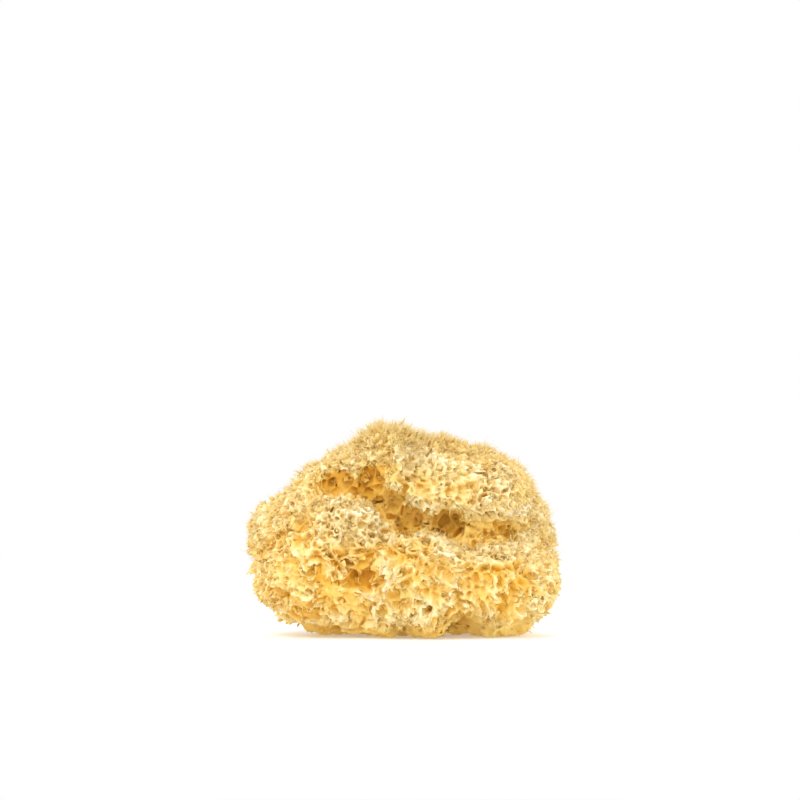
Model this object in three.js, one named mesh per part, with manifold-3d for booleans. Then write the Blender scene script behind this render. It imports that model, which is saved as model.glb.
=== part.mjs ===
// A dried bath sponge: the fibre skeleton of one sea sponge, trimmed flat where it grew on rock.
// It is one piece that has grown as two masses: a wide body, and a high crown that rests on the body and
// leans over its front. A deep fold with five hollows parts them, shallower creases part the lobes of each
// mass, and large outlet pores (oscules) open all over. Four low notches nick the edge of the trimmed base.
// Frame: millimetres, +Z up, +X to the right, the fold faces -Y. The origin is the middle of the base.
import * as THREE from "three";
import { ImprovedNoise } from "three/addons/math/ImprovedNoise.js";
import { mergeVertices } from "three/addons/utils/BufferGeometryUtils.js";
import Module from "manifold-3d";

const wasm = await Module();
wasm.setup();

// Driving dimensions, in millimetres.
const WIDTH = 140;
const DEPTH = 106;
const HEIGHT = 94;

// The two masses and their lobes, in shares of WIDTH, DEPTH and HEIGHT. A mass has the point that it
// grows round and its detail (20 x (detail + 1)^2 triangles); a lobe has its middle, then its three radii.
const MASSES = [
  {
    name: "body",
    centre: [0, 0, 0.3],
    detail: 12,
    lobes: [
      { name: "heart", middle: [-0.02, 0.03, 0.33], radii: [0.4, 0.4, 0.36] },
      { name: "left shoulder", middle: [-0.262, -0.03, 0.37], radii: [0.235, 0.37, 0.345] },
      { name: "left foot", middle: [-0.25, -0.13, 0.27], radii: [0.225, 0.33, 0.25] },
      { name: "belly", middle: [0.02, -0.23, 0.25], radii: [0.22, 0.26, 0.29] },
      { name: "right foot", middle: [0.285, -0.08, 0.25], radii: [0.212, 0.38, 0.27] },
      { name: "right flank", middle: [0.268, 0.06, 0.44], radii: [0.195, 0.33, 0.235] },
      { name: "back left", middle: [-0.16, 0.22, 0.4], radii: [0.27, 0.27, 0.38] },
      { name: "back right", middle: [0.17, 0.22, 0.37], radii: [0.25, 0.27, 0.36] },
    ],
  },
  {
    name: "crown",
    centre: [0.06, 0.0, 0.56],
    detail: 11,
    lobes: [
      { name: "core", middle: [0.05, 0.1, 0.5], radii: [0.34, 0.35, 0.32] },
      { name: "left neck", middle: [-0.2, -0.02, 0.57], radii: [0.19, 0.33, 0.245] },
      { name: "crest", middle: [-0.058, 0.0, 0.655], radii: [0.15, 0.34, 0.33] },
      { name: "crest's right slope", middle: [0.11, 0.0, 0.63], radii: [0.18, 0.36, 0.295] },
      { name: "right shoulder", middle: [0.258, 0.0, 0.605], radii: [0.157, 0.37, 0.222] },
    ],
  },
];
const LOBE_BLEND = 2.6; // how softly the lobes of a mass run into each other, in millimetres

// The folds: how deep each sinks the surface, how far it reaches to each side, and its path, in the same
// shares.
const FOLDS = [
  {
    name: "deep fold",
    depth: 10,
    reach: 12,
    path: [[-0.29, -0.27, 0.68], [-0.17, -0.3, 0.65], [-0.075, -0.33, 0.6], [-0.01, -0.33, 0.53]],
  },
  { name: "fold's right end", depth: 8, reach: 9, path: [[-0.01, -0.33, 0.53], [0.15, -0.33, 0.52]] },
  { name: "crest cleft", depth: 6, reach: 10, path: [[-0.1, -0.32, 0.64], [-0.105, -0.3, 0.8]] },
  {
    name: "right crease",
    depth: 3,
    reach: 11,
    path: [[0.15, -0.33, 0.51], [0.3, -0.34, 0.49], [0.45, -0.2, 0.47]],
  },
  {
    name: "left shelf",
    depth: 4,
    reach: 9,
    path: [[-0.49, -0.16, 0.3], [-0.3, -0.41, 0.3], [-0.12, -0.44, 0.31]],
  },
  {
    name: "front hollow",
    depth: 4,
    reach: 10,
    path: [[-0.04, -0.46, 0.32], [-0.03, -0.44, 0.14], [0, -0.35, 0]],
  },
  { name: "back fold", depth: 6, reach: 13, path: [[0.03, 0.38, 0.78], [0, 0.48, 0.45], [0.03, 0.44, 0.1]] },
  {
    name: "right side fold",
    depth: 5,
    reach: 12,
    path: [[0.42, 0.2, 0.66], [0.46, 0.14, 0.38], [0.42, 0.2, 0.1]],
  },
  {
    name: "crown dip",
    depth: 4,
    reach: 12,
    path: [[0.17, -0.2, 0.84], [0.19, 0.04, 0.85], [0.17, 0.28, 0.8]],
  },
];

// The clumps that the surface is made of, in millimetres: coarse ones, and finer ones on them.
const CLUMPS = [
  { spacing: 19, rise: 2.6 },
  { spacing: 10, rise: 1.6 },
];

// The oscules on the front, as shares of WIDTH and HEIGHT, with their radius in millimetres.
const FRONT_OSCULES = [
  { x: -0.28, z: 0.235, radius: 2.2 },
  { x: -0.247, z: 0.275, radius: 1.9 },
  { x: -0.186, z: 0.225, radius: 2.1 },
  { x: -0.12, z: 0.25, radius: 1.7 },
  { x: -0.179, z: 0.345, radius: 1.7 },
  { x: -0.11, z: 0.48, radius: 1.8 },
  { x: 0.062, z: 0.47, radius: 2.2 },
  { x: 0.165, z: 0.455, radius: 2.4 },
  { x: 0.333, z: 0.235, radius: 1.9 },
  { x: 0.29, z: 0.2, radius: 1.9 },
  { x: 0.305, z: 0.11, radius: 1.7 },
  { x: 0.071, z: 0.135, radius: 1.9 },
  { x: 0.236, z: 0.66, radius: 1.9 },
];
const OTHER_OSCULES = 15; // spread over the top, the sides and the back
const OTHER_OSCULE_RADIUS = 2.3;
const OSCULE_DEPTH = 9;
const OSCULE_SIDES = 8;

// Egg-shaped cuts: hollows that go further in along the fold, and notches in the edge of the base, half of
// which is below it. Middles are in shares of WIDTH, DEPTH and HEIGHT, and radii in millimetres.
const HOLLOWS = [
  { middle: [-0.21, -0.24, 0.685], radii: [7, 10, 4.5] },
  { middle: [-0.11, -0.27, 0.68], radii: [4.5, 9, 7] },
  { middle: [-0.055, -0.27, 0.59], radii: [6, 10, 5.5] },
  { middle: [0.02, -0.29, 0.53], radii: [7, 11, 4] },
  { middle: [0.12, -0.28, 0.515], radii: [7, 10, 3.5] },
];
const NOTCHES = [
  { middle: [-0.015, -0.42, 0], radii: [3.0, 20, 3.6] },
  { middle: [0.293, -0.36, 0], radii: [5.2, 16, 2.8] },
  { middle: [-0.19, 0.4, 0], radii: [5.0, 15, 3.0] },
  { middle: [0.2, 0.42, 0], radii: [4.0, 18, 3.4] },
];

const MIDDLE = new THREE.Vector3(0, 0, 0.38 * HEIGHT); // inside both masses' reach
const FAR = 110; // beyond the surface in every direction
const GOLDEN_ANGLE = Math.PI * (3 - Math.sqrt(5));

const noise = new ImprovedNoise();
const sized = ([x, y, z]) => new THREE.Vector3(x * WIDTH, y * DEPTH, z * HEIGHT);
const masses = MASSES.map(({ centre, detail, lobes }) => ({
  centre: sized(centre),
  detail,
  lobes: lobes.map(({ middle, radii }) => ({ middle: sized(middle), radii: sized(radii) })),
}));
const folds = FOLDS.map(({ depth, reach, path }) => ({ depth, reach, path: path.map(sized) }));

function clumpRise({ x, y, z }) {
  const riseOf = ({ spacing, rise }) => rise * noise.noise(x / spacing, y / spacing, z / spacing);
  return CLUMPS.reduce((sum, clump) => sum + riseOf(clump), 0);
}

// Distance outside one mass: each lobe's is its ellipsoid's, they blend at a seam, and the clumps swell it.
function massDistance(point, { lobes }) {
  let sum = 0;
  for (const { middle, radii } of lobes) {
    const scaled = point.clone().sub(middle).divide(radii);
    const distance = (scaled.length() - 1) * Math.min(radii.x, radii.y, radii.z);
    sum += Math.exp(-distance / LOBE_BLEND);
  }
  return -LOBE_BLEND * Math.log(sum) - clumpRise(point);
}

const spongeDistance = (point) => Math.min(...masses.map((mass) => massDistance(point, mass)));

// Distance from a point to the nearest part of a fold's path.
function pathDistance(point, path) {
  const nearest = new THREE.Vector3();
  return Math.min(
    ...path.slice(1).map((end, i) => {
      new THREE.Line3(path[i], end).closestPointToPoint(point, true, nearest);
      return nearest.distanceTo(point);
    }),
  );
}

// How far the folds sink the surface at a point: most on a fold's path, and softly less to both sides.
function foldDepth(point) {
  return Math.max(
    ...folds.map(({ depth, reach, path }) => {
      const across = Math.min(pathDistance(point, path) / reach, 1);
      return depth * (1 - across * across) ** 2;
    }),
  );
}

const sunk = (point, centre) => point.add(centre.clone().sub(point).setLength(foldDepth(point)));

// Where the line from a far point towards a near one first comes inside a distance: steps in, then halves.
function firstMeeting(from, to, distance) {
  const steps = 90;
  const at = (share) => from.clone().lerp(to, share);
  let step = 1;
  while (step < steps && distance(at(step / steps)) > 0) step += 1;
  let outside = (step - 1) / steps;
  let inside = step / steps;
  for (let i = 0; i < 12; i += 1) {
    const middle = (outside + inside) / 2;
    if (distance(at(middle)) > 0) outside = middle;
    else inside = middle;
  }
  return at(inside);
}

// The outward normal near a point, from how the distance changes there.
function outward(point) {
  const reach = 3;
  const change = (x, y, z) =>
    spongeDistance(point.clone().add(new THREE.Vector3(x, y, z))) -
    spongeDistance(point.clone().sub(new THREE.Vector3(x, y, z)));
  return new THREE.Vector3(change(reach, 0, 0), change(0, reach, 0), change(0, 0, reach)).normalize();
}

function solidOf(geometry) {
  const bare = geometry.clone();
  bare.deleteAttribute("normal");
  bare.deleteAttribute("uv");
  const merged = mergeVertices(bare, 1e-4);
  return new wasm.Manifold(
    new wasm.Mesh({
      numProp: 3,
      vertProperties: merged.attributes.position.array,
      triVerts: new Uint32Array(merged.index.array),
    }),
  );
}

// One mass before trimming: a ball of triangles with each corner moved out to the mass's surface.
function massSolid(mass) {
  const ball = new THREE.IcosahedronGeometry(1, mass.detail);
  const corners = ball.attributes.position;
  const corner = new THREE.Vector3();
  for (let i = 0; i < corners.count; i += 1) {
    const far = mass.centre.clone().addScaledVector(corner.fromBufferAttribute(corners, i).normalize(), FAR);
    const skin = firstMeeting(far, mass.centre, (point) => massDistance(point, mass));
    corners.setXYZ(i, ...sunk(skin, mass.centre).toArray());
  }
  return solidOf(ball);
}

// One oscule: a round-ended pit that runs in along the inward normal, and stands out a little to cut clean.
function osculeSolid(mouth, radius) {
  const normal = outward(mouth);
  const pit = new THREE.CapsuleGeometry(radius, OSCULE_DEPTH, 2, OSCULE_SIDES);
  pit.applyQuaternion(new THREE.Quaternion().setFromUnitVectors(new THREE.Vector3(0, 1, 0), normal));
  const middle = mouth.clone().addScaledVector(normal, radius - OSCULE_DEPTH / 2);
  return solidOf(pit.translate(middle.x, middle.y, middle.z));
}

function frontOscules() {
  return FRONT_OSCULES.map(({ x, z, radius }) => {
    const ahead = new THREE.Vector3(x * WIDTH, -FAR, z * HEIGHT);
    const skin = firstMeeting(ahead, ahead.clone().setY(0), spongeDistance);
    return osculeSolid(sunk(skin, MIDDLE), radius);
  });
}

// The other oscules stand at even heights on a spiral round the sponge, and skip its front.
function otherOscules() {
  const made = [];
  for (let turn = 0; made.length < OTHER_OSCULES; turn += 1) {
    const height = 0.92 - (0.85 * made.length) / (OTHER_OSCULES - 1);
    const angle = turn * GOLDEN_ANGLE;
    const flat = Math.sqrt(1 - height * height);
    const direction = new THREE.Vector3(flat * Math.cos(angle), flat * Math.sin(angle), height);
    if (direction.y < -0.35) continue;
    const skin = firstMeeting(MIDDLE.clone().addScaledVector(direction, FAR), MIDDLE, spongeDistance);
    made.push(osculeSolid(sunk(skin, MIDDLE), OTHER_OSCULE_RADIUS * (0.75 + 0.5 * ((turn * 0.37) % 1))));
  }
  return made;
}

function eggSolid({ middle, radii }) {
  const { x, y, z } = sized(middle);
  return solidOf(new THREE.SphereGeometry(1, 12, 8).scale(...radii).translate(x, y, z));
}

function groundSolid() {
  return solidOf(new THREE.BoxGeometry(4 * WIDTH, 4 * DEPTH, HEIGHT).translate(0, 0, -HEIGHT / 2));
}

// The finished solid as a geometry of exactly WIDTH x DEPTH x HEIGHT that stands on z = 0.
function spongeGeometry() {
  const eggs = [...HOLLOWS, ...NOTCHES].map(eggSolid);
  const cuts = [groundSolid(), ...eggs, ...frontOscules(), ...otherOscules()];
  const grown = masses.map(massSolid).reduce((joined, mass) => joined.add(mass));
  const solid = cuts.reduce((left, cut) => left.subtract(cut), grown);
  const mesh = solid.getMesh();
  const geometry = new THREE.BufferGeometry();
  geometry.setAttribute("position", new THREE.BufferAttribute(mesh.vertProperties, 3));
  geometry.setIndex(new THREE.BufferAttribute(mesh.triVerts, 1));
  geometry.computeBoundingBox();
  const { min, max } = geometry.boundingBox;
  geometry.translate(-(min.x + max.x) / 2, -(min.y + max.y) / 2, -min.z);
  geometry.scale(WIDTH / (max.x - min.x), DEPTH / (max.y - min.y), HEIGHT / (max.z - min.z));
  return geometry;
}

const spongin = new THREE.MeshStandardMaterial({ color: 0xecc477, roughness: 0.95, metalness: 0 });

const sponge = new THREE.Mesh(spongeGeometry(), spongin);
sponge.name = "sponge";

const part = new THREE.Group();
part.add(sponge);

export default part;
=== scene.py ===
"""A dried bath sponge: one sea sponge's golden fibre skeleton, on a pale studio floor.

The sponge is made in layers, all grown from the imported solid's own shape:
  skeleton_left, skeleton_right  the mass, a density worked out on a grid, with cells, torn hollows and canals
  flaps, frills                  thin wavy walls, large and small, that stand on the ridges between the cells
  tufts, wool                    pointed bundles of stiff fibres, and shorter and finer ones between them
  strays                         single loose fibres that reach a little further out
Lengths are in millimetres while a shape is worked out, and become metres when its mesh is made.
"""

import math

import bpy
import numpy as np
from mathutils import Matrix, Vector


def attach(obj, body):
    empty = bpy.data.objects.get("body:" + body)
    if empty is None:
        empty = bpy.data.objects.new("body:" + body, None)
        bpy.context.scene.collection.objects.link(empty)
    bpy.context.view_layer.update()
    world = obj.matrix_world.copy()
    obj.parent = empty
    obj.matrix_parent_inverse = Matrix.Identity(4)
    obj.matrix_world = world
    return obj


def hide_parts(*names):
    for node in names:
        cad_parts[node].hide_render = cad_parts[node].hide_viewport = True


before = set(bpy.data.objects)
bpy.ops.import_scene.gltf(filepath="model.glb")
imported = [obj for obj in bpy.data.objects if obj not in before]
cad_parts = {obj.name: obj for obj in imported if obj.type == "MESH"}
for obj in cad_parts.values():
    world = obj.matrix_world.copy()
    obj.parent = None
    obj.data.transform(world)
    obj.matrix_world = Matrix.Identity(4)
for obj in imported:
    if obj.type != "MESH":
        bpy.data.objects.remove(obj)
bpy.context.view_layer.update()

MM = 0.001  # a millimetre in metres

# The grid that the density is worked out on, in millimetres.
GRID_STEP = 0.7
GRID_EDGE = 5.0  # empty room round the solid
REACH = 17  # grid steps over which depth is measured
CORE = 11.0  # deeper than this all is solid
OVERLAP = 2  # grid points that the left and right half both keep

# How far things lie under the solid's own skin, in millimetres.
RIDGE_DEPTH = 1.7  # the walls' tops, to leave room for the fibres
TUFT_ROOM = 1.6  # how much more room the longer tufts of the crest need
FINE_PIT = 3.0
RAGGED_PIT = 4.8
CANAL_DEPTH = 7.5
DEEPEST = 9.5  # where the painted shade of the hollows is darkest

# The cells, in millimetres across, and from where to where their walls fall away, in shares of a cell.
FINE_CELL = 3.4
FINE_WALL = (0.05, 0.42)
RAGGED_CELL = 6.4
RAGGED_WALL = (0.03, 0.32)

# Swellings of the walls' tops: how high, and how far apart, in millimetres.
LUMPS = (1.7, 9)
SMALL_LUMPS = (1.0, 4.5)
GRAIN = (0.45, 2.0)

CANAL_SPACING = 6.0  # millimetres
PORE_CLOSING = 3.0  # pores and creases up to twice this wide are bridged by the skin
SHELTER_STEPS = 4  # grid steps in one step of the coarse grid of shelter
CREST = np.array([-8.0, 0.0, 100.0])  # the fibres lie down away from here
LEAN = 0.55  # how far walls lean over for each millimetre that they stand up

HALF_FACES = 190_000  # triangles in each half of the mass
FRILL_ROWS = 3  # rows of points up a frill
SPIKE_RINGS = 3  # rings of points along a fibre, before its tip


# ---------------------------------------------------------------- noise and cells


class Noise:
    """Smooth noise from -1 to 1: random numbers on a lattice, blended between its points by an S curve."""

    def __init__(self, seed, side=64):
        self.side = side
        self.numbers = np.random.default_rng(seed).uniform(-1, 1, (side, side, side)).astype(np.float32)

    def at(self, points, size):
        place = points / size
        low = np.floor(place).astype(np.int32)
        share = (place - low).astype(np.float32)
        share = share * share * (3 - 2 * share)
        found = np.zeros(len(points), np.float32)
        for corner in np.ndindex(2, 2, 2):
            x, y, z = ((low + corner) % self.side).T
            weight = np.prod(np.where(corner, share, 1 - share), axis=1)
            found += weight * self.numbers[x, y, z]
        return found

    def layered(self, points, size, layers=3):
        """Several sizes of the noise added up, each half as large and half as strong as the one before."""
        found = sum(self.at(points + 17.3 * k, size / 2**k) / 2**k for k in range(layers))
        return found / sum(0.5**k for k in range(layers))


class Cells:
    """Cells round scattered seeds, one seed at random in each cube of a lattice."""

    def __init__(self, seed, side=48):
        self.side = side
        self.seeds = np.random.default_rng(seed).uniform(0, 1, (side, side, side, 4)).astype(np.float32)

    def at(self, points, size):
        """For each point: how far it is from the nearest wall between cells, from 0 on the wall, in cell
        sizes, and its cell's own random number. The wall distance is the second nearest seed's less the
        nearest's."""
        place = (points / size).astype(np.float32)
        low = np.floor(place).astype(np.int32)
        nearest = np.full(len(points), 9, np.float32)
        second = nearest.copy()
        number = np.zeros(len(points), np.float32)
        for shift in np.ndindex(3, 3, 3):
            cube = low + shift - 1
            x, y, z = (cube % self.side).T
            seed = self.seeds[x, y, z]
            gap = cube + seed[:, :3] - place
            distance = np.sqrt((gap * gap).sum(1))
            second = np.minimum(second, np.maximum(distance, nearest))
            number = np.where(distance < nearest, seed[:, 3], number)
            nearest = np.minimum(nearest, distance)
        return second - nearest, number


def ramp(x, low, high):
    """0 below low, 1 above high, and an S curve between."""
    share = np.clip((x - low) / (high - low), 0, 1)
    return share * share * (3 - 2 * share)


def unit(vectors):
    return vectors / np.maximum(np.linalg.norm(vectors, axis=-1, keepdims=True), 1e-9)


# ---------------------------------------------------------------- the grid


def mesh_arrays(piece):
    """A mesh's points in millimetres, and its triangles."""
    mesh = piece.data
    mesh.calc_loop_triangles()
    points = np.empty(len(mesh.vertices) * 3, np.float32)
    mesh.vertices.foreach_get("co", points)
    triangles = np.empty(len(mesh.loop_triangles) * 3, np.int32)
    mesh.loop_triangles.foreach_get("vertices", triangles)
    return points.reshape(-1, 3).astype(float) / MM, triangles.reshape(-1, 3)


def filled(points, triangles, low, shape):
    """Which grid points lie inside a closed mesh: a line up to the point has crossed the mesh an odd number
    of times. Each triangle is met by the grid's columns in its own small box, at the height of its
    plane."""
    a, b, c = ((points[triangles[:, k]] - low) / GRID_STEP for k in range(3))
    first = np.ceil(np.minimum(np.minimum(a, b), c)[:, :2]).astype(int)
    last = np.floor(np.maximum(np.maximum(a, b), c)[:, :2]).astype(int)
    size = np.maximum(last - first + 1, 0)
    number = size[:, 0] * size[:, 1]
    tri = np.repeat(np.arange(len(triangles)), number)
    place = np.arange(number.sum()) - np.repeat(np.cumsum(number) - number, number)
    column = first[tri] + np.stack([place % size[tri, 0], place // size[tri, 0]], 1)

    def side(p, q):
        return (q[:, 0] - p[:, 0]) * (column[:, 1] - p[:, 1]) - (q[:, 1] - p[:, 1]) * (column[:, 0] - p[:, 0])

    a, b, c = a[tri], b[tri], c[tri]
    shares = np.stack([side(b, c), side(c, a), side(a, b)], 1)
    whole = shares.sum(1)
    met = ((shares > 0).all(1) | (shares < 0).all(1)) & (np.abs(whole) > 1e-12)
    shares = shares[met] / whole[met, None]
    height = shares[:, 0] * a[met, 2] + shares[:, 1] * b[met, 2] + shares[:, 2] * c[met, 2]
    crossings = np.zeros(shape, np.int16)
    above = np.clip(np.ceil(height).astype(int), 0, shape[2] - 1)
    np.add.at(crossings, (column[met, 0], column[met, 1], above), 1)
    return np.cumsum(crossings, axis=2) % 2 == 1


def moved(grid, by, axis):
    """Two places in a grid: the points that have another one so many steps further on, and those others."""
    here = [slice(None)] * 3
    there = [slice(None)] * 3
    here[axis] = slice(max(-by, 0), grid.shape[axis] - max(by, 0))
    there[axis] = slice(max(by, 0), grid.shape[axis] - max(-by, 0))
    return tuple(here), tuple(there)


def distance_to(target):
    """Distance in millimetres from each grid point to the nearest one in target, up to REACH steps. Squares
    of distances are spread along one axis after another, and each point keeps the least."""
    squares = np.where(target, 0, 4 * REACH**2).astype(np.float32)
    for axis in range(3):
        least = squares.copy()
        for by in (*range(-REACH, 0), *range(1, REACH + 1)):
            here, there = moved(squares, by, axis)
            np.minimum(least[here], squares[there] + by * by, out=least[here])
        squares = least
    return np.sqrt(squares) * GRID_STEP


def softened(grid, times):
    """The grid with each value blended with its neighbours' (1, 2, 1) along every axis, so many times."""
    for _ in range(times):
        for axis in range(3):
            padded = np.pad(grid, [(1, 1) if k == axis else (0, 0) for k in range(3)], mode="edge")
            n = grid.shape[axis]
            low, middle, high = (np.take(padded, range(k, k + n), axis=axis) for k in range(3))
            grid = (low + 2 * middle + high) / 4
    return grid


class Grid:
    """Values on a grid of points, read between them by blending along each axis."""

    def __init__(self, low, values, step=GRID_STEP):
        self.low = low
        self.values = values
        self.step = step

    def at(self, points):
        place = np.clip((points - self.low) / self.step, 0, np.array(self.values.shape) - 1.001)
        low = place.astype(np.int32)
        share = place - low
        found = np.zeros(len(points))
        for corner in np.ndindex(2, 2, 2):
            x, y, z = (low + corner).T
            found += np.prod(np.where(corner, share, 1 - share), axis=1) * self.values[x, y, z]
        return found

    def slope(self, points):
        """Unit vectors down the values at points, from values 1.2 mm to either side."""
        steps = 1.2 * np.eye(3)
        return unit(np.stack([self.at(points - step) - self.at(points + step) for step in steps], 1))


def zero_surface(values, low):
    """The surface between positive and negative grid points, as points and four-cornered faces that look
    away from the positive side. Each cell that it passes through gets one point, the middle of where the
    cell's edges change sign. Each grid edge that changes sign gets one face, between the four cells round
    it."""
    solid = values > 0
    corners = list(np.ndindex(2, 2, 2))
    nx, ny, nz = np.array(values.shape) - 1
    count = sum(solid[i : i + nx, j : j + ny, k : k + nz].astype(np.int8) for i, j, k in corners)
    mixed = (count > 0) & (count < 8)
    cell = np.argwhere(mixed)
    number = np.full(mixed.shape, -1, np.int32)
    number[mixed] = np.arange(len(cell))
    value = {corner: values[tuple((cell + corner).T)] for corner in corners}
    total = np.zeros((len(cell), 3))
    met = np.zeros(len(cell))
    faces = []
    for axis in range(3):
        along = np.eye(3, dtype=int)[axis]
        for corner in (c for c in corners if c[axis] == 0):
            start, end = value[corner], value[tuple(along + corner)]
            crosses = (start > 0) != (end > 0)
            share = np.where(crosses, start / np.where(crosses, start - end, 1), 0)
            total += crosses[:, None] * (np.array(corner) + share[:, None] * along)
            met += crosses
        inner = tuple(slice(0, -1) if k == axis else slice(1, -1) for k in range(3))
        further = tuple(slice(1, None) if k == axis else slice(1, -1) for k in range(3))
        changes = solid[inner] != solid[further]
        edge = np.argwhere(changes) + (1 - along)
        across, over = np.eye(3, dtype=int)[(axis + 1) % 3], np.eye(3, dtype=int)[(axis + 2) % 3]
        quad = np.stack([number[tuple((edge - s).T)] for s in (0 * across, across, across + over, over)], 1)
        outward = solid[tuple(edge.T)]
        faces.append(np.where(outward[:, None], quad, quad[:, ::-1]))
    return low + GRID_STEP * (cell + total / met[:, None]), np.concatenate(faces)


# ---------------------------------------------------------------- meshes


def mesh_piece(name, points, faces, tint, height, material):
    """A smooth mesh object from points in millimetres. Its map holds each point's tint across and height
    up, which paints light and shade into the colour."""
    mesh = bpy.data.meshes.new(name)
    sides = faces.shape[1]
    mesh.vertices.add(len(points))
    mesh.vertices.foreach_set("co", (points * MM).astype(np.float32).ravel())
    mesh.loops.add(faces.size)
    mesh.loops.foreach_set("vertex_index", faces.astype(np.int32).ravel())
    mesh.polygons.add(len(faces))
    mesh.polygons.foreach_set("loop_start", np.arange(0, faces.size, sides, dtype=np.int32))
    mesh.polygons.foreach_set("loop_total", np.full(len(faces), sides, np.int32))
    mesh.update(calc_edges=True)
    mesh.validate()
    mesh.shade_smooth()
    piece = bpy.data.objects.new(name, mesh)
    bpy.context.collection.objects.link(piece)
    mesh.materials.append(material)
    if tint is not None:
        colour_map(piece, tint, height)
    return piece


def colour_map(piece, tint, height):
    """The map that the materials read: each point's tint across and its height up, both from 0 to 1. The
    height paints shade and light into the colour.
    """
    mesh = piece.data
    corner = np.empty(len(mesh.loops), np.int32)
    mesh.loops.foreach_get("vertex_index", corner)
    place = np.clip(np.stack([tint, height], 1), 0.002, 0.998)[corner]
    layer = mesh.uv_layers.new(name="OFBake")
    layer.uv.foreach_set("vector", place.astype(np.float32).ravel())


def thinned(piece, faces):
    """The piece with its mesh thinned to about so many triangles."""
    triangles = 2 * len(piece.data.polygons)
    if triangles <= faces:
        return piece
    fewer = piece.modifiers.new("fewer faces", "DECIMATE")
    fewer.ratio = faces / triangles
    graph = bpy.context.evaluated_depsgraph_get()
    mesh = bpy.data.meshes.new_from_object(piece.evaluated_get(graph))
    piece.modifiers.clear()
    piece.data = mesh
    mesh.shade_smooth()
    return piece


# ---------------------------------------------------------------- the skeleton


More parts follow.
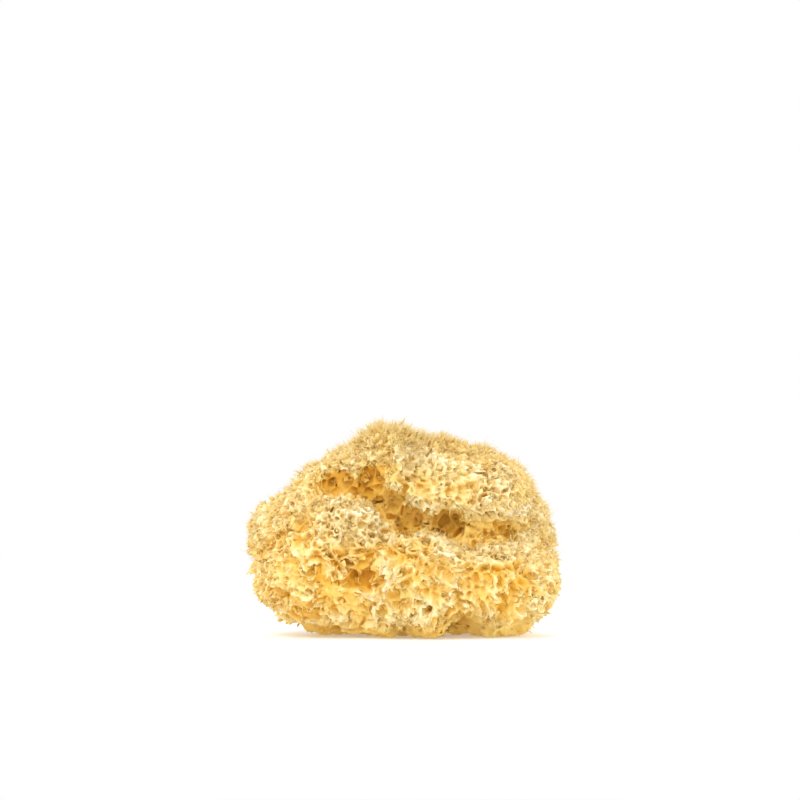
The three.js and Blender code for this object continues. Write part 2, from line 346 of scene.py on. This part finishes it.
class Sponge:
    """The solid as grids of depth under its skin, which is positive inside, and what grows on it. In depth
    its pores are bridged, in open_depth they are open, and hull is depth smoothed."""

    def __init__(self, node):
        points, triangles = mesh_arrays(node)
        self.low = points.min(0) - GRID_EDGE + 0.0137
        self.high = points.max(0) + GRID_EDGE
        shape = np.ceil((self.high - self.low) / GRID_STEP).astype(int)
        inside = filled(points, triangles, self.low, shape)
        outside = distance_to(inside)
        depth = distance_to(~inside) - outside
        wide = outside <= PORE_CLOSING
        closed = np.where(wide, distance_to(~wide) - PORE_CLOSING, -outside)
        self.depth = Grid(self.low, softened(closed, 1))
        self.open_depth = softened(depth, 1)
        self.hull = Grid(self.low, softened(closed, 6))
        self.solid_share = self.coarse(inside)
        self.noise = Noise(11)
        self.noise_too = Noise(23)
        self.cells = Cells(5)
        self.ragged_cells = Cells(9)

    def coarse(self, inside):
        """How much of the neighbourhood of a place is solid: blocks of the grid are averaged, then
        softened."""
        blocks = np.array(inside.shape) // SHELTER_STEPS
        whole = inside[tuple(slice(0, n * SHELTER_STEPS) for n in blocks)].astype(np.float32)
        sides = [size for n in blocks for size in (n, SHELTER_STEPS)]
        share = whole.reshape(sides).mean(axis=(1, 3, 5))
        middle = self.low + GRID_STEP * (SHELTER_STEPS - 1) / 2
        return Grid(middle, softened(share, 10), GRID_STEP * SHELTER_STEPS)

    def shelter(self, points):
        """0 on a bulge or an open place, and up to 1 in a fold, where most of the neighbourhood is sponge."""
        skin, _ = self.skin(points)
        return ramp(self.solid_share.at(skin), 0.47, 0.72)

    def skin(self, points):
        """Each point moved straight out to the smooth skin, and the way out."""
        out = self.hull.slope(points)
        return points + out * self.hull.at(points)[:, None], out

    def wander(self, points, size):
        """Three smooth noises as a vector."""
        return np.stack([self.noise_too.at(points + 41 * k, size) for k in range(3)], 1)

    def flow(self, points, out, size):
        """A direction along the skin, away from the crest, that wanders from place to place like combed
        wool."""
        way = unit(points - CREST) + 1.5 * self.wander(points, size)
        return unit(way - (way * out).sum(1, keepdims=True) * out)

    def raggedness(self, points):
        """From 0, close and fuzzy, to 1, torn into flaps: more low down, in patches, and none on the
        crest."""
        low_down = ramp(-points[:, 2], -46, -24)
        patches = 0.5 + 0.5 * self.noise.at(points, 24)
        return np.clip(0.7 * low_down + 0.9 * ramp(patches, 0.5, 0.85) * ramp(-points[:, 2], -80, -50), 0, 1)

    def relief(self, skin):
        """How far the skeleton's surface lies under the skin, and 1 on a wall between cells to 0 in a hollow.
        Ragged walls are torn: a noise lets them stand in some places and sinks them in others."""
        ragged = self.raggedness(skin)
        bent = skin + 0.9 * self.wander(skin + 13, 2.6)
        fine, _ = self.cells.at(bent, FINE_CELL)
        coarse, _ = self.ragged_cells.at(bent + 2.6 * self.wander(skin + 29, 8), RAGGED_CELL)
        fine_wall = 1 - ramp(fine, *FINE_WALL)
        coarse_wall = 1 - ramp(coarse, *RAGGED_WALL)
        coarse_wall *= 0.3 + 0.7 * ramp(self.noise.at(skin + 70, 4.4), -0.5, 0.25)
        pit = (1 - ragged) * FINE_PIT * (1 - fine_wall)
        pit += ragged * (RAGGED_PIT * (1 - coarse_wall) + 0.35 * FINE_PIT * (1 - fine_wall))
        lumps = LUMPS[0] * self.noise_too.at(skin, LUMPS[1])
        lumps = lumps + SMALL_LUMPS[0] * self.noise.at(skin + 19, SMALL_LUMPS[1])
        grain = GRAIN[0] * self.noise_too.at(skin, GRAIN[1])
        wall = (1 - ragged) * fine_wall + ragged * coarse_wall
        near_cut = 0.5 + 0.5 * ramp(skin[:, 2], 0, 5)
        above_cut = ramp(skin[:, 2], 0.1, 1.5)
        under_tufts = RIDGE_DEPTH + TUFT_ROOM * ramp(skin[:, 2], 78, 92)
        return pit * near_cut + above_cut * (under_tufts + lumps + grain), wall

    def canal(self, points):
        """Distance to the wall of the nearest canal. Canals run where two noises are both near nothing."""
        one = self.noise.at(points + 57, CANAL_SPACING)
        two = self.noise_too.at(points + 83, CANAL_SPACING)
        return np.hypot(one, two) * CANAL_SPACING * 0.55

    def density(self):
        """Positive in the skeleton: depth under the skin less the relief, cut by canals near the surface. The
        relief is read further along the flow the deeper a point lies, which makes its walls lean."""
        depth = self.depth.values
        near = (depth > -1) & (depth < CORE)
        points = self.low + GRID_STEP * np.argwhere(near)
        skin, out = self.skin(points)
        own = depth[near]
        relief, _ = self.relief(skin + LEAN * own[:, None] * self.flow(skin, out, 20))
        solid = own - relief
        radius = 0.5 + 0.45 * self.raggedness(points)
        opening = radius * (1 - ramp(own, 0.6 * CANAL_DEPTH, CANAL_DEPTH))
        solid = np.minimum(solid, self.canal(points) - opening)
        solid = np.minimum(solid, self.open_depth[near] + 0.3)
        values = np.where(depth >= CORE, 5.0, -1.0)
        values[near] = solid
        return values


def tint_at(sponge, points):
    """The tint of a place: broad patches, with small ones in them."""
    broad = sponge.noise.layered(points + 200, 30, 2)
    small = sponge.noise_too.layered(points + 300, 3.5, 2)
    return 0.5 + 0.42 * broad + 0.28 * small


def shade_height_at(sponge, points):
    """The colour's height, which paints shade: 1 at the solid's own skin, 0 at DEEPEST under it or deeper,
    so that hollows are painted darker, less in a fold's shelter, painted shade there, and less by the cut,
    darker towards the base."""
    under_skin = np.clip(1 - sponge.depth.at(points) / DEEPEST, 0, 1)
    by_cut = 0.5 + 0.5 * ramp(points[:, 2], 0, 9)
    return under_skin * by_cut * (1 - 0.6 * sponge.shelter(points))


def make_skeleton(sponge, material):
    """The sponge's mass, as a left and a right half that overlap by a cell, each closed inside the other. No
    grid of two parameters and no profile on a path can fold round canals and undercut hollows, so the mass is
    the zero surface of a density that is worked out at every point of a 3-D grid."""
    whole = sponge.density()
    middle = len(whole) // 2
    halves = []
    left_out = {"skeleton_left": slice(middle + OVERLAP, None), "skeleton_right": slice(0, middle)}
    for name, empty in left_out.items():
        values = whole.copy()
        values[empty] = -1.0
        points, faces = zero_surface(values, sponge.low)
        half = thinned(mesh_piece(name, points, faces, None, None, material), HALF_FACES)
        points, _ = mesh_arrays(half)
        # The height paints shade: darker in hollows and folds, and darker towards the cut base.
        colour_map(half, tint_at(sponge, points), shade_height_at(sponge, points))
        halves.append(half)
    return halves


# ---------------------------------------------------------------- frills, tufts and strays


class Roots:
    """Where fibres can grow on the skeleton: on its open ridges near the skin, and nowhere on the cut
    base."""

    def __init__(self, sponge, halves):
        arrays = [mesh_arrays(half) for half in halves]
        self.corners = np.concatenate([points[triangles] for points, triangles in arrays])
        one, two = self.corners[:, 1] - self.corners[:, 0], self.corners[:, 2] - self.corners[:, 0]
        facing = np.cross(one, two)
        middle = self.corners.mean(1)
        skin, self.out = sponge.skin(middle)
        _, self.wall = sponge.relief(skin)
        self.under = sponge.depth.at(middle)
        open_to = ramp((unit(facing) * self.out).sum(1), 0.0, 0.6)
        above_cut = ramp(middle[:, 2], 0.8, 3.0) * ramp(self.out[:, 2], -0.97, -0.75)
        out_of_folds = 1 - 0.75 * sponge.shelter(middle)
        self.ragged = sponge.raggedness(middle)
        crest = 1 + ramp(middle[:, 2], 76, 90)
        self.chance = np.linalg.norm(facing, axis=1) * open_to * above_cut * out_of_folds * crest

    def spots(self, number, rng, on_ridges, deepest, in_ragged):
        """Random points and the ways out there. A triangle's chance follows its area, how much it is on a
        wall, how near the skin it lies, and how ragged it is there: in_ragged runs from -1, none, to 1,
        only there."""
        chance = self.chance * (1 - on_ridges + on_ridges * self.wall**2)
        chance = chance * (1 - abs(in_ragged) * (1 - self.ragged if in_ragged > 0 else self.ragged))
        chance = chance * (1 - ramp(self.under, 0.6 * deepest, deepest))
        picked = rng.choice(len(chance), number, p=chance / chance.sum())
        one, two = rng.random((2, number, 1))
        one, two = np.where(one + two > 1, 1 - one, one), np.where(one + two > 1, 1 - two, two)
        a, b, c = (self.corners[picked, k] for k in range(3))
        return a + one * (b - a) + two * (c - a), self.out[picked]


def along_ridge(sponge, root, out, rng):
    """The direction along the ridge at each root. The relief is read to both sides in four directions round
    the root. Twice the angle of the steepest fall has the differences of those sums as its cosine and
    sine."""
    first = unit(np.cross(out, rng.normal(size=root.shape)))
    second = np.cross(out, first)
    sums = []
    for way in (first, second, unit(first + second), unit(first - second)):
        sides = [sponge.relief(sponge.skin(root + step * way)[0])[0] for step in (-0.9, 0.9)]
        sums.append(sum(sides))
    angle = 0.5 * np.arctan2(sums[2] - sums[3], sums[0] - sums[1])[:, None]
    return np.cos(angle) * second - np.sin(angle) * first


def ring_faces(count, rings, sides, top):
    """Triangles of count closed shapes of rings on rings of points, each with the top's own triangles."""
    here = np.arange(sides)
    there = (here + 1) % sides
    steps = sides * np.arange(rings - 1)[:, None]
    lower = np.stack([steps + here, steps + there, steps + sides + there], -1).reshape(-1, 3)
    upper = np.stack([steps + here, steps + sides + there, steps + sides + here], -1).reshape(-1, 3)
    one = np.concatenate([lower, upper, top])
    each = one.max() + 1
    return (one[None] + each * np.arange(count)[:, None, None]).reshape(-1, 3)


def standing(points):
    """The points with none of them lower than the ground."""
    return np.concatenate([points[:, :2], np.maximum(points[:, 2:], 0.05)], 1)


def bent_paths(root, middle, tip, rings):
    """Points along a smooth bow from root towards tip, drawn to the middle: a quadratic Bezier curve."""
    t = np.linspace(0, 1, rings + 1)[None, :, None]
    return (1 - t) ** 2 * root[:, None] + 2 * t * (1 - t) * middle[:, None] + t * t * tip[:, None]


def spikes(paths, across, half_width, flatness):
    """Closed spikes of three sides: a ring of points is carried along each path up to its last point, the
    tip. A ring point is the path's point, plus cosine times half the width across, plus sine times that and
    flatness over. The tip and the root are closed."""
    count, rings, sides = paths.shape[0], paths.shape[1] - 1, 3
    along = unit(np.gradient(paths, axis=1))[:, :rings]
    across = unit(across[:, None] - (across[:, None] * along).sum(-1, keepdims=True) * along)
    over = flatness * np.cross(along, across)
    turn = 2 * np.pi * np.arange(sides) / sides
    reach = half_width[..., None, None]
    ring = np.cos(turn)[:, None] * across[:, :, None] + np.sin(turn)[:, None] * over[:, :, None]
    points = np.concatenate([(paths[:, :rings, None] + reach * ring).reshape(count, -1, 3), paths[:, -1:]], 1)
    last = sides * (rings - 1)
    top = [[last, last + 1, last + 3], [last + 1, last + 2, last + 3], [last + 2, last, last + 3], [0, 2, 1]]
    return points.reshape(-1, 3), ring_faces(count, rings, sides, np.array(top))


def spike_colours(sponge, points, count, rings, low, own):
    """Each spike point's tint, its spike's own with a little more round the ring, and its height, painted
    shade and light, which rises from low at the root, painted shade among the fibres, to 0.8 at the tip, and
    is less where the spike stands in a hollow, painted shade there too."""
    share = np.append(np.repeat(np.arange(rings) / rings, 3), 1.0)
    turn = np.append(np.tile(np.cos(2 * np.pi * np.arange(3) / 3), rings), 0.0)
    tint = 0.7 * tint_at(sponge, points).reshape(count, -1) + 0.3 * own[:, None] + 0.03 * turn
    open_to = 0.4 + 0.6 * shade_height_at(sponge, points).reshape(count, -1)
    height = (low + (0.8 - low) * share) * open_to
    return tint.ravel(), height.ravel()


def make_tufts(sponge, roots, name, bundles, each, lengths, widths, on_ridges, seed, material):
    """Pointed bundles of stiff fibres. Each fibre is a spike carried along a bow from the ridge to near its
    bundle's common tip, and narrows all the way."""
    rng = np.random.default_rng(seed)
    root, out = roots.spots(bundles, rng, on_ridges, 7.0, -0.75)
    lean = unit(sponge.flow(root, out, 9.0) + 0.5 * rng.normal(size=root.shape))
    crest = ramp(root[:, 2], 74, 88)
    way = unit(out + rng.uniform(0.3, 1.5, (bundles, 1)) * (1 - 0.6 * crest[:, None]) * lean)
    length = rng.uniform(*lengths, bundles) * (1 + 0.6 * crest)
    tip = root + way * length[:, None]
    owner = np.repeat(np.arange(bundles), each)
    spread = rng.normal(size=(len(owner), 3))
    start = root[owner] + 0.6 * spread - 0.5 * out[owner]
    end = tip[owner] + 0.4 * rng.normal(size=spread.shape)
    end = start + (end - start) * rng.uniform(0.6, 1.1, (len(owner), 1))
    bow = 0.9 * out[owner] + 0.5 * rng.normal(size=spread.shape)
    middle = (start + end) / 2 + 0.3 * length[owner, None] * bow
    paths = bent_paths(start, middle, end, SPIKE_RINGS)
    width = rng.uniform(*widths, (len(owner), 1)) * np.array([1.0, 0.85, 0.5])
    points, faces = spikes(paths, unit(rng.normal(size=start.shape)), width, 0.5)
    own = rng.random(bundles)[owner]
    tint, height = spike_colours(sponge, points, len(owner), SPIKE_RINGS, 0.5, own)
    return mesh_piece(name, standing(points), faces, tint, height, material)


def make_strays(sponge, roots, name, number, seed, material):
    """Single loose fibres, longer and much finer, that bow out past the tufts."""
    rng = np.random.default_rng(seed)
    root, out = roots.spots(number, rng, 0.5, 6.0, 0.0)
    lean = unit(sponge.flow(root + 90, out, 12.0) + 1.0 * rng.normal(size=root.shape))
    way = unit(out + rng.uniform(0.3, 1.6, (number, 1)) * lean)
    length = rng.uniform(2.5, 5.0, (number, 1)) * (1 + 0.3 * ramp(root[:, 2:], 68, 84))
    tip = root + way * length
    middle = (root + tip) / 2 + 0.3 * length * rng.normal(size=root.shape)
    paths = bent_paths(root - 0.6 * out, middle, tip, SPIKE_RINGS)
    width = rng.uniform(0.06, 0.12, (number, 1)) * np.array([1.0, 0.9, 0.7])
    points, faces = spikes(paths, unit(rng.normal(size=root.shape)), width, 1.0)
    tint, height = spike_colours(sponge, points, number, SPIKE_RINGS, 0.55, rng.random(number))
    return mesh_piece(name, standing(points), faces, tint, height, material)


def frill_sheets(sponge, root, out, columns, halves, heights, rng):
    """The middle sheets of frills, and the way over from each. A sheet has two parameters, u along the ridge
    and v up. It is as tall as its tatters at u, waves to both sides along u, curls over with the square of v,
    and starts a little under the ridge."""
    number = len(root)
    along = unit(along_ridge(sponge, root, out, rng) + 0.3 * rng.normal(size=root.shape))
    slant = rng.uniform(0.15, 1.0, (number, 1))
    up = unit(out + slant * sponge.flow(root, out, 9.0) + 0.2 * rng.normal(size=root.shape))
    over = unit(np.cross(along, up))
    u = np.linspace(-1, 1, columns)[None, None, :]
    v = np.linspace(0, 1, FRILL_ROWS)[None, :, None]
    ranges = (halves, heights, (0.2, 0.6), (1.5, 3.5), (0, 6.3), (-0.8, 0.8))
    half, tall, wave, turns, start, curl = (rng.uniform(low, high, (number, 1, 1)) for low, high in ranges)
    tatters = rng.uniform(0.45, 1.0, (number, 1, columns)) * (1 - 0.3 * u * u)
    x = half * u * (1 - 0.25 * v + 0.3 * v * v)
    y = half * wave * np.sin(turns * u + start) * (0.5 + 1.2 * v) + curl * v * v * tall * 0.6
    z = tall * v * tatters - 0.6 * (1 - v)
    parts = zip((x, y, z), (along, over, up))
    sheet = root[:, None, None] + sum(share[..., None] * way[:, None, None] for share, way in parts)
    return sheet, over[:, None, None]


def make_frills(sponge, roots, name, number, columns, halves, heights, in_ragged, seed, material):
    """Thin wavy walls on the ridges between cells. Each point of a frill's sheet is moved to either side
    for the wall's thickness, which dies away to a ragged top edge."""
    rng = np.random.default_rng(seed)
    root, out = roots.spots(number, rng, 0.85, 9.0, in_ragged)
    sheet, over = frill_sheets(sponge, root, out, columns, halves, heights, rng)
    u = np.linspace(-1, 1, columns)[None, None, :, None]
    v = np.linspace(0, 1, FRILL_ROWS)[None, :, None, None]
    thick = (0.12 + 0.02 * heights[1]) * (1 - 0.7 * v) * (1 - 0.6 * u * u) * over
    loop = np.concatenate([sheet + thick, (sheet - thick)[:, :, ::-1]], 2)
    sides = 2 * columns
    edge = sides * (FRILL_ROWS - 1) + np.arange(columns - 1)
    back = sides * FRILL_ROWS - 1 - np.arange(columns - 1)
    top = np.concatenate([np.stack([edge, edge + 1, back], 1), np.stack([edge + 1, back - 1, back], 1)])
    points = loop.reshape(-1, 3)
    faces = ring_faces(number, FRILL_ROWS, sides, top)
    share = np.repeat(np.linspace(0, 1, FRILL_ROWS), sides)
    tint = 0.7 * tint_at(sponge, points).reshape(number, -1) + 0.3 * rng.random((number, 1))
    tint = tint + 0.03 * np.tile(np.cos(np.pi * np.arange(sides) / columns), FRILL_ROWS)
    # Painted shade: darker at a frill's foot and where it stands in a hollow or fold, lighter up to its edge.
    height = (0.45 + 0.37 * share) * (0.4 + 0.6 * shade_height_at(sponge, points).reshape(number, -1))
    return mesh_piece(name, standing(points), faces, tint.ravel(), height.ravel(), material)


# ---------------------------------------------------------------- materials


def socket(group, name, kind, way):
    return group.interface.new_socket(name=name, in_out=way, socket_type=kind)


def spongin_group():
    """Node group: the colour of spongin from its height and tint. Height paints light and shade into the
    colour: hollows are painted shade in brown and orange, the open surface is golden, and the tips are
    painted light in cream. Tint moves every colour between tawny and straw."""
    group = bpy.data.node_groups.new("Spongin colour", "ShaderNodeTree")
    socket(group, "Height", "NodeSocketFloat", "INPUT")
    socket(group, "Tint", "NodeSocketFloat", "INPUT")
    socket(group, "Color", "NodeSocketColor", "OUTPUT")
    nodes, links = group.nodes, group.links
    given = nodes.new("NodeGroupInput")
    out = nodes.new("NodeGroupOutput")
    tawny = nodes.new("ShaderNodeValToRGB")
    straw = nodes.new("ShaderNodeValToRGB")
    set_ramp(tawny, TAWNY)
    set_ramp(straw, STRAW)
    links.new(given.outputs["Height"], tawny.inputs["Fac"])
    links.new(given.outputs["Height"], straw.inputs["Fac"])
    mix = nodes.new("ShaderNodeMix")
    mix.data_type = "RGBA"
    links.new(given.outputs["Tint"], mix.inputs["Factor"])
    links.new(tawny.outputs["Color"], mix.inputs["A"])
    links.new(straw.outputs["Color"], mix.inputs["B"])
    links.new(mix.outputs["Result"], out.inputs["Color"])
    return group


def linear(hex_colour):
    """A colour written as on a paint chart, as the light that it gives back."""
    parts = [int(hex_colour[k : k + 2], 16) / 255 for k in (1, 3, 5)]
    return [p / 12.92 if p <= 0.04045 else ((p + 0.055) / 1.055) ** 2.4 for p in parts] + [1]


# Both ramps run from painted shade at height 0, in the hollows, to painted light at height 1, on the open
# skin and tips.
TAWNY = [(0.0, "#b96c0c"), (0.25, "#e3ab34"), (0.5, "#f3ca68"), (0.75, "#f6dd9c"), (1.0, "#f8e9c6")]
STRAW = [(0.0, "#d28e20"), (0.25, "#edbf50"), (0.5, "#f6db88"), (0.75, "#f8e8b6"), (1.0, "#faf1dc")]


def set_ramp(node, stops):
    elements = node.color_ramp.elements
    for element in list(elements)[2:]:
        elements.remove(element)
    for k, (place, colour) in enumerate(stops):
        element = elements[k] if k < 2 else elements.new(place)
        element.position = place
        element.color = linear(colour)


def spongin_material(name, group, glow, grain, felting):
    """Dry matte spongin. Its colour comes from the group, and its fine felt is a bump of fibre-sized noise.
    Glow is how much light soaks through, grain how many lumps of the felt there are in a metre, and felting
    how deep they are."""
    material = bpy.data.materials.new(name)
    material.use_nodes = True
    nodes, links = material.node_tree.nodes, material.node_tree.links
    shader = nodes["Principled BSDF"]
    shader.inputs["Roughness"].default_value = 0.9
    shader.inputs["Specular IOR Level"].default_value = 0.2
    shader.inputs["Subsurface Weight"].default_value = glow
    shader.inputs["Subsurface Radius"].default_value = (1.0, 0.6, 0.3)
    shader.inputs["Subsurface Scale"].default_value = 0.002
    place = nodes.new("ShaderNodeUVMap")
    place.uv_map = "OFBake"
    split = nodes.new("ShaderNodeSeparateXYZ")
    links.new(place.outputs["UV"], split.inputs[0])
    colour = nodes.new("ShaderNodeGroup")
    colour.node_tree = group
    links.new(split.outputs["X"], colour.inputs["Tint"])
    links.new(split.outputs["Y"], colour.inputs["Height"])
    links.new(colour.outputs["Color"], shader.inputs["Base Color"])
    where = nodes.new("ShaderNodeTexCoord")
    felt = nodes.new("ShaderNodeTexNoise")
    felt.inputs["Scale"].default_value = grain
    felt.inputs["Detail"].default_value = 3
    links.new(where.outputs["Object"], felt.inputs["Vector"])
    bump = nodes.new("ShaderNodeBump")
    bump.inputs["Strength"].default_value = 0.4
    bump.inputs["Distance"].default_value = felting
    links.new(felt.outputs["Fac"], bump.inputs["Height"])
    links.new(bump.outputs["Normal"], shader.inputs["Normal"])
    return material


# ---------------------------------------------------------------- studio


FLOOR_RADIUS = 0.8  # metres
ROOM_LIGHT = 1.0  # how strongly the white room lights the sponge

# The lamps: name, place in metres, width in metres, watts.
LAMPS = [
    ("key light", (-0.9, -1.3, 1.5), 1.2, 14),
    ("fill light", (1.3, -1.2, 0.7), 1.2, 5),
    ("top light", (0.1, 0.4, 1.7), 1.0, 8),
]
LAMPS_AIM = (0, 0, 0.05)


def studio_floor():
    """A round sheet of white paper: a fan of triangles from its middle to points on a circle. It glows a
    little, so that its edge is lost in the white behind it."""
    number = 96
    turn = 2 * np.pi * np.arange(number) / number
    circle = FLOOR_RADIUS * np.stack([np.cos(turn), np.sin(turn), 0 * turn], 1)
    here = np.arange(number)
    faces = np.stack([0 * here, 1 + here, 1 + (here + 1) % number], 1)
    material = bpy.data.materials.new("studio paper")
    material.use_nodes = True
    shader = material.node_tree.nodes["Principled BSDF"]
    shader.inputs["Base Color"].default_value = (0.9, 0.9, 0.9, 1)
    shader.inputs["Roughness"].default_value = 0.8
    shader.inputs["Emission Color"].default_value = (1, 1, 1, 1)
    shader.inputs["Emission Strength"].default_value = 0.25
    points = np.concatenate([[[0, 0, 0]], circle]) / MM
    floor = mesh_piece("studio_floor", points, faces, None, None, material)


def area_light(name, place, size, watts):
    light = bpy.data.lights.new(name, "AREA")
    light.shape = "DISK"
    light.size = size
    light.energy = watts
    lamp = bpy.data.objects.new(name, light)
    bpy.context.collection.objects.link(lamp)
    lamp.location = place
    lamp.rotation_euler = (Vector(LAMPS_AIM) - Vector(place)).to_track_quat("-Z", "Y").to_euler()


def studio_light():
    """Soft lamps in a white room. The camera sees it fully white, whatever strength it lights the sponge
    at."""
    for lamp in LAMPS:
        area_light(*lamp)
    world = bpy.data.worlds.new("studio")
    bpy.context.scene.world = world
    world.use_nodes = True
    nodes, links = world.node_tree.nodes, world.node_tree.links
    path = nodes.new("ShaderNodeLightPath")
    seen = nodes.new("ShaderNodeMapRange")
    seen.inputs["To Min"].default_value = ROOM_LIGHT
    seen.inputs["To Max"].default_value = 1.0
    links.new(path.outputs["Is Camera Ray"], seen.inputs["Value"])
    links.new(seen.outputs["Result"], nodes["Background"].inputs["Strength"])
    nodes["Background"].inputs["Color"].default_value = (1, 1, 1, 1)
    scene = bpy.context.scene
    scene.view_settings.view_transform = "Standard"
    scene.view_settings.look = "None"


LENS = 220.0  # millimetres
SENSOR = 36.0
FRAME_WIDTH = 0.3456  # metres across the picture, at the sponge's middle
AIM = (-0.0022, 0.0, 0.1014)  # just over the crest, so that the sponge stands low in the picture
ELEVATION = 0.4  # degrees


def studio_camera():
    """A long lens, nearly level with the crest and looking very slightly down."""
    camera_data = bpy.data.cameras.new("camera")
    camera = bpy.data.objects.new("camera", camera_data)
    bpy.context.collection.objects.link(camera)
    camera_data.lens = LENS
    camera_data.sensor_width = SENSOR
    distance = FRAME_WIDTH * LENS / SENSOR
    tilt = math.radians(ELEVATION)
    camera.location = Vector(AIM) + distance * Vector((0, -math.cos(tilt), math.sin(tilt)))
    camera.rotation_euler = (Vector(AIM) - camera.location).to_track_quat("-Z", "Y").to_euler()
    bpy.context.scene.camera = camera


# ---------------------------------------------------------------- putting it together

studio_camera()
studio_light()
studio_floor()

sponge = Sponge(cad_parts["sponge"])
spongin_colour = spongin_group()
mass_spongin = spongin_material("spongin of the mass", spongin_colour, 0.3, 900, 0.0003)
fibre_spongin = spongin_material("spongin of the fibres", spongin_colour, 0.0, 2500, 0.00003)

skeleton = make_skeleton(sponge, mass_spongin)
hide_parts("sponge")
roots = Roots(sponge, skeleton)
on_sponge = {"sponge": sponge, "roots": roots, "material": fibre_spongin}
flaps = make_frills(
    name="flaps",
    number=900,
    columns=7,
    halves=(1.2, 2.4),
    heights=(1.6, 2.8),
    in_ragged=0.9,
    seed=31,
    **on_sponge,
)
frills = make_frills(
    name="frills",
    number=3000,
    columns=5,
    halves=(0.7, 1.5),
    heights=(1.1, 2.2),
    in_ragged=0.0,
    seed=32,
    **on_sponge,
)
tufts = make_tufts(
    name="tufts",
    bundles=2800,
    each=4,
    lengths=(1.8, 3.8),
    widths=(0.2, 0.38),
    on_ridges=0.8,
    seed=41,
    **on_sponge,
)
wool = make_tufts(
    name="wool",
    bundles=3000,
    each=4,
    lengths=(1.2, 2.4),
    widths=(0.14, 0.26),
    on_ridges=0.3,
    seed=43,
    **on_sponge,
)
strays = make_strays(name="strays", number=9000, seed=51, **on_sponge)
for piece in (*skeleton, flaps, frills, tufts, wool, strays):
    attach(piece, "root")
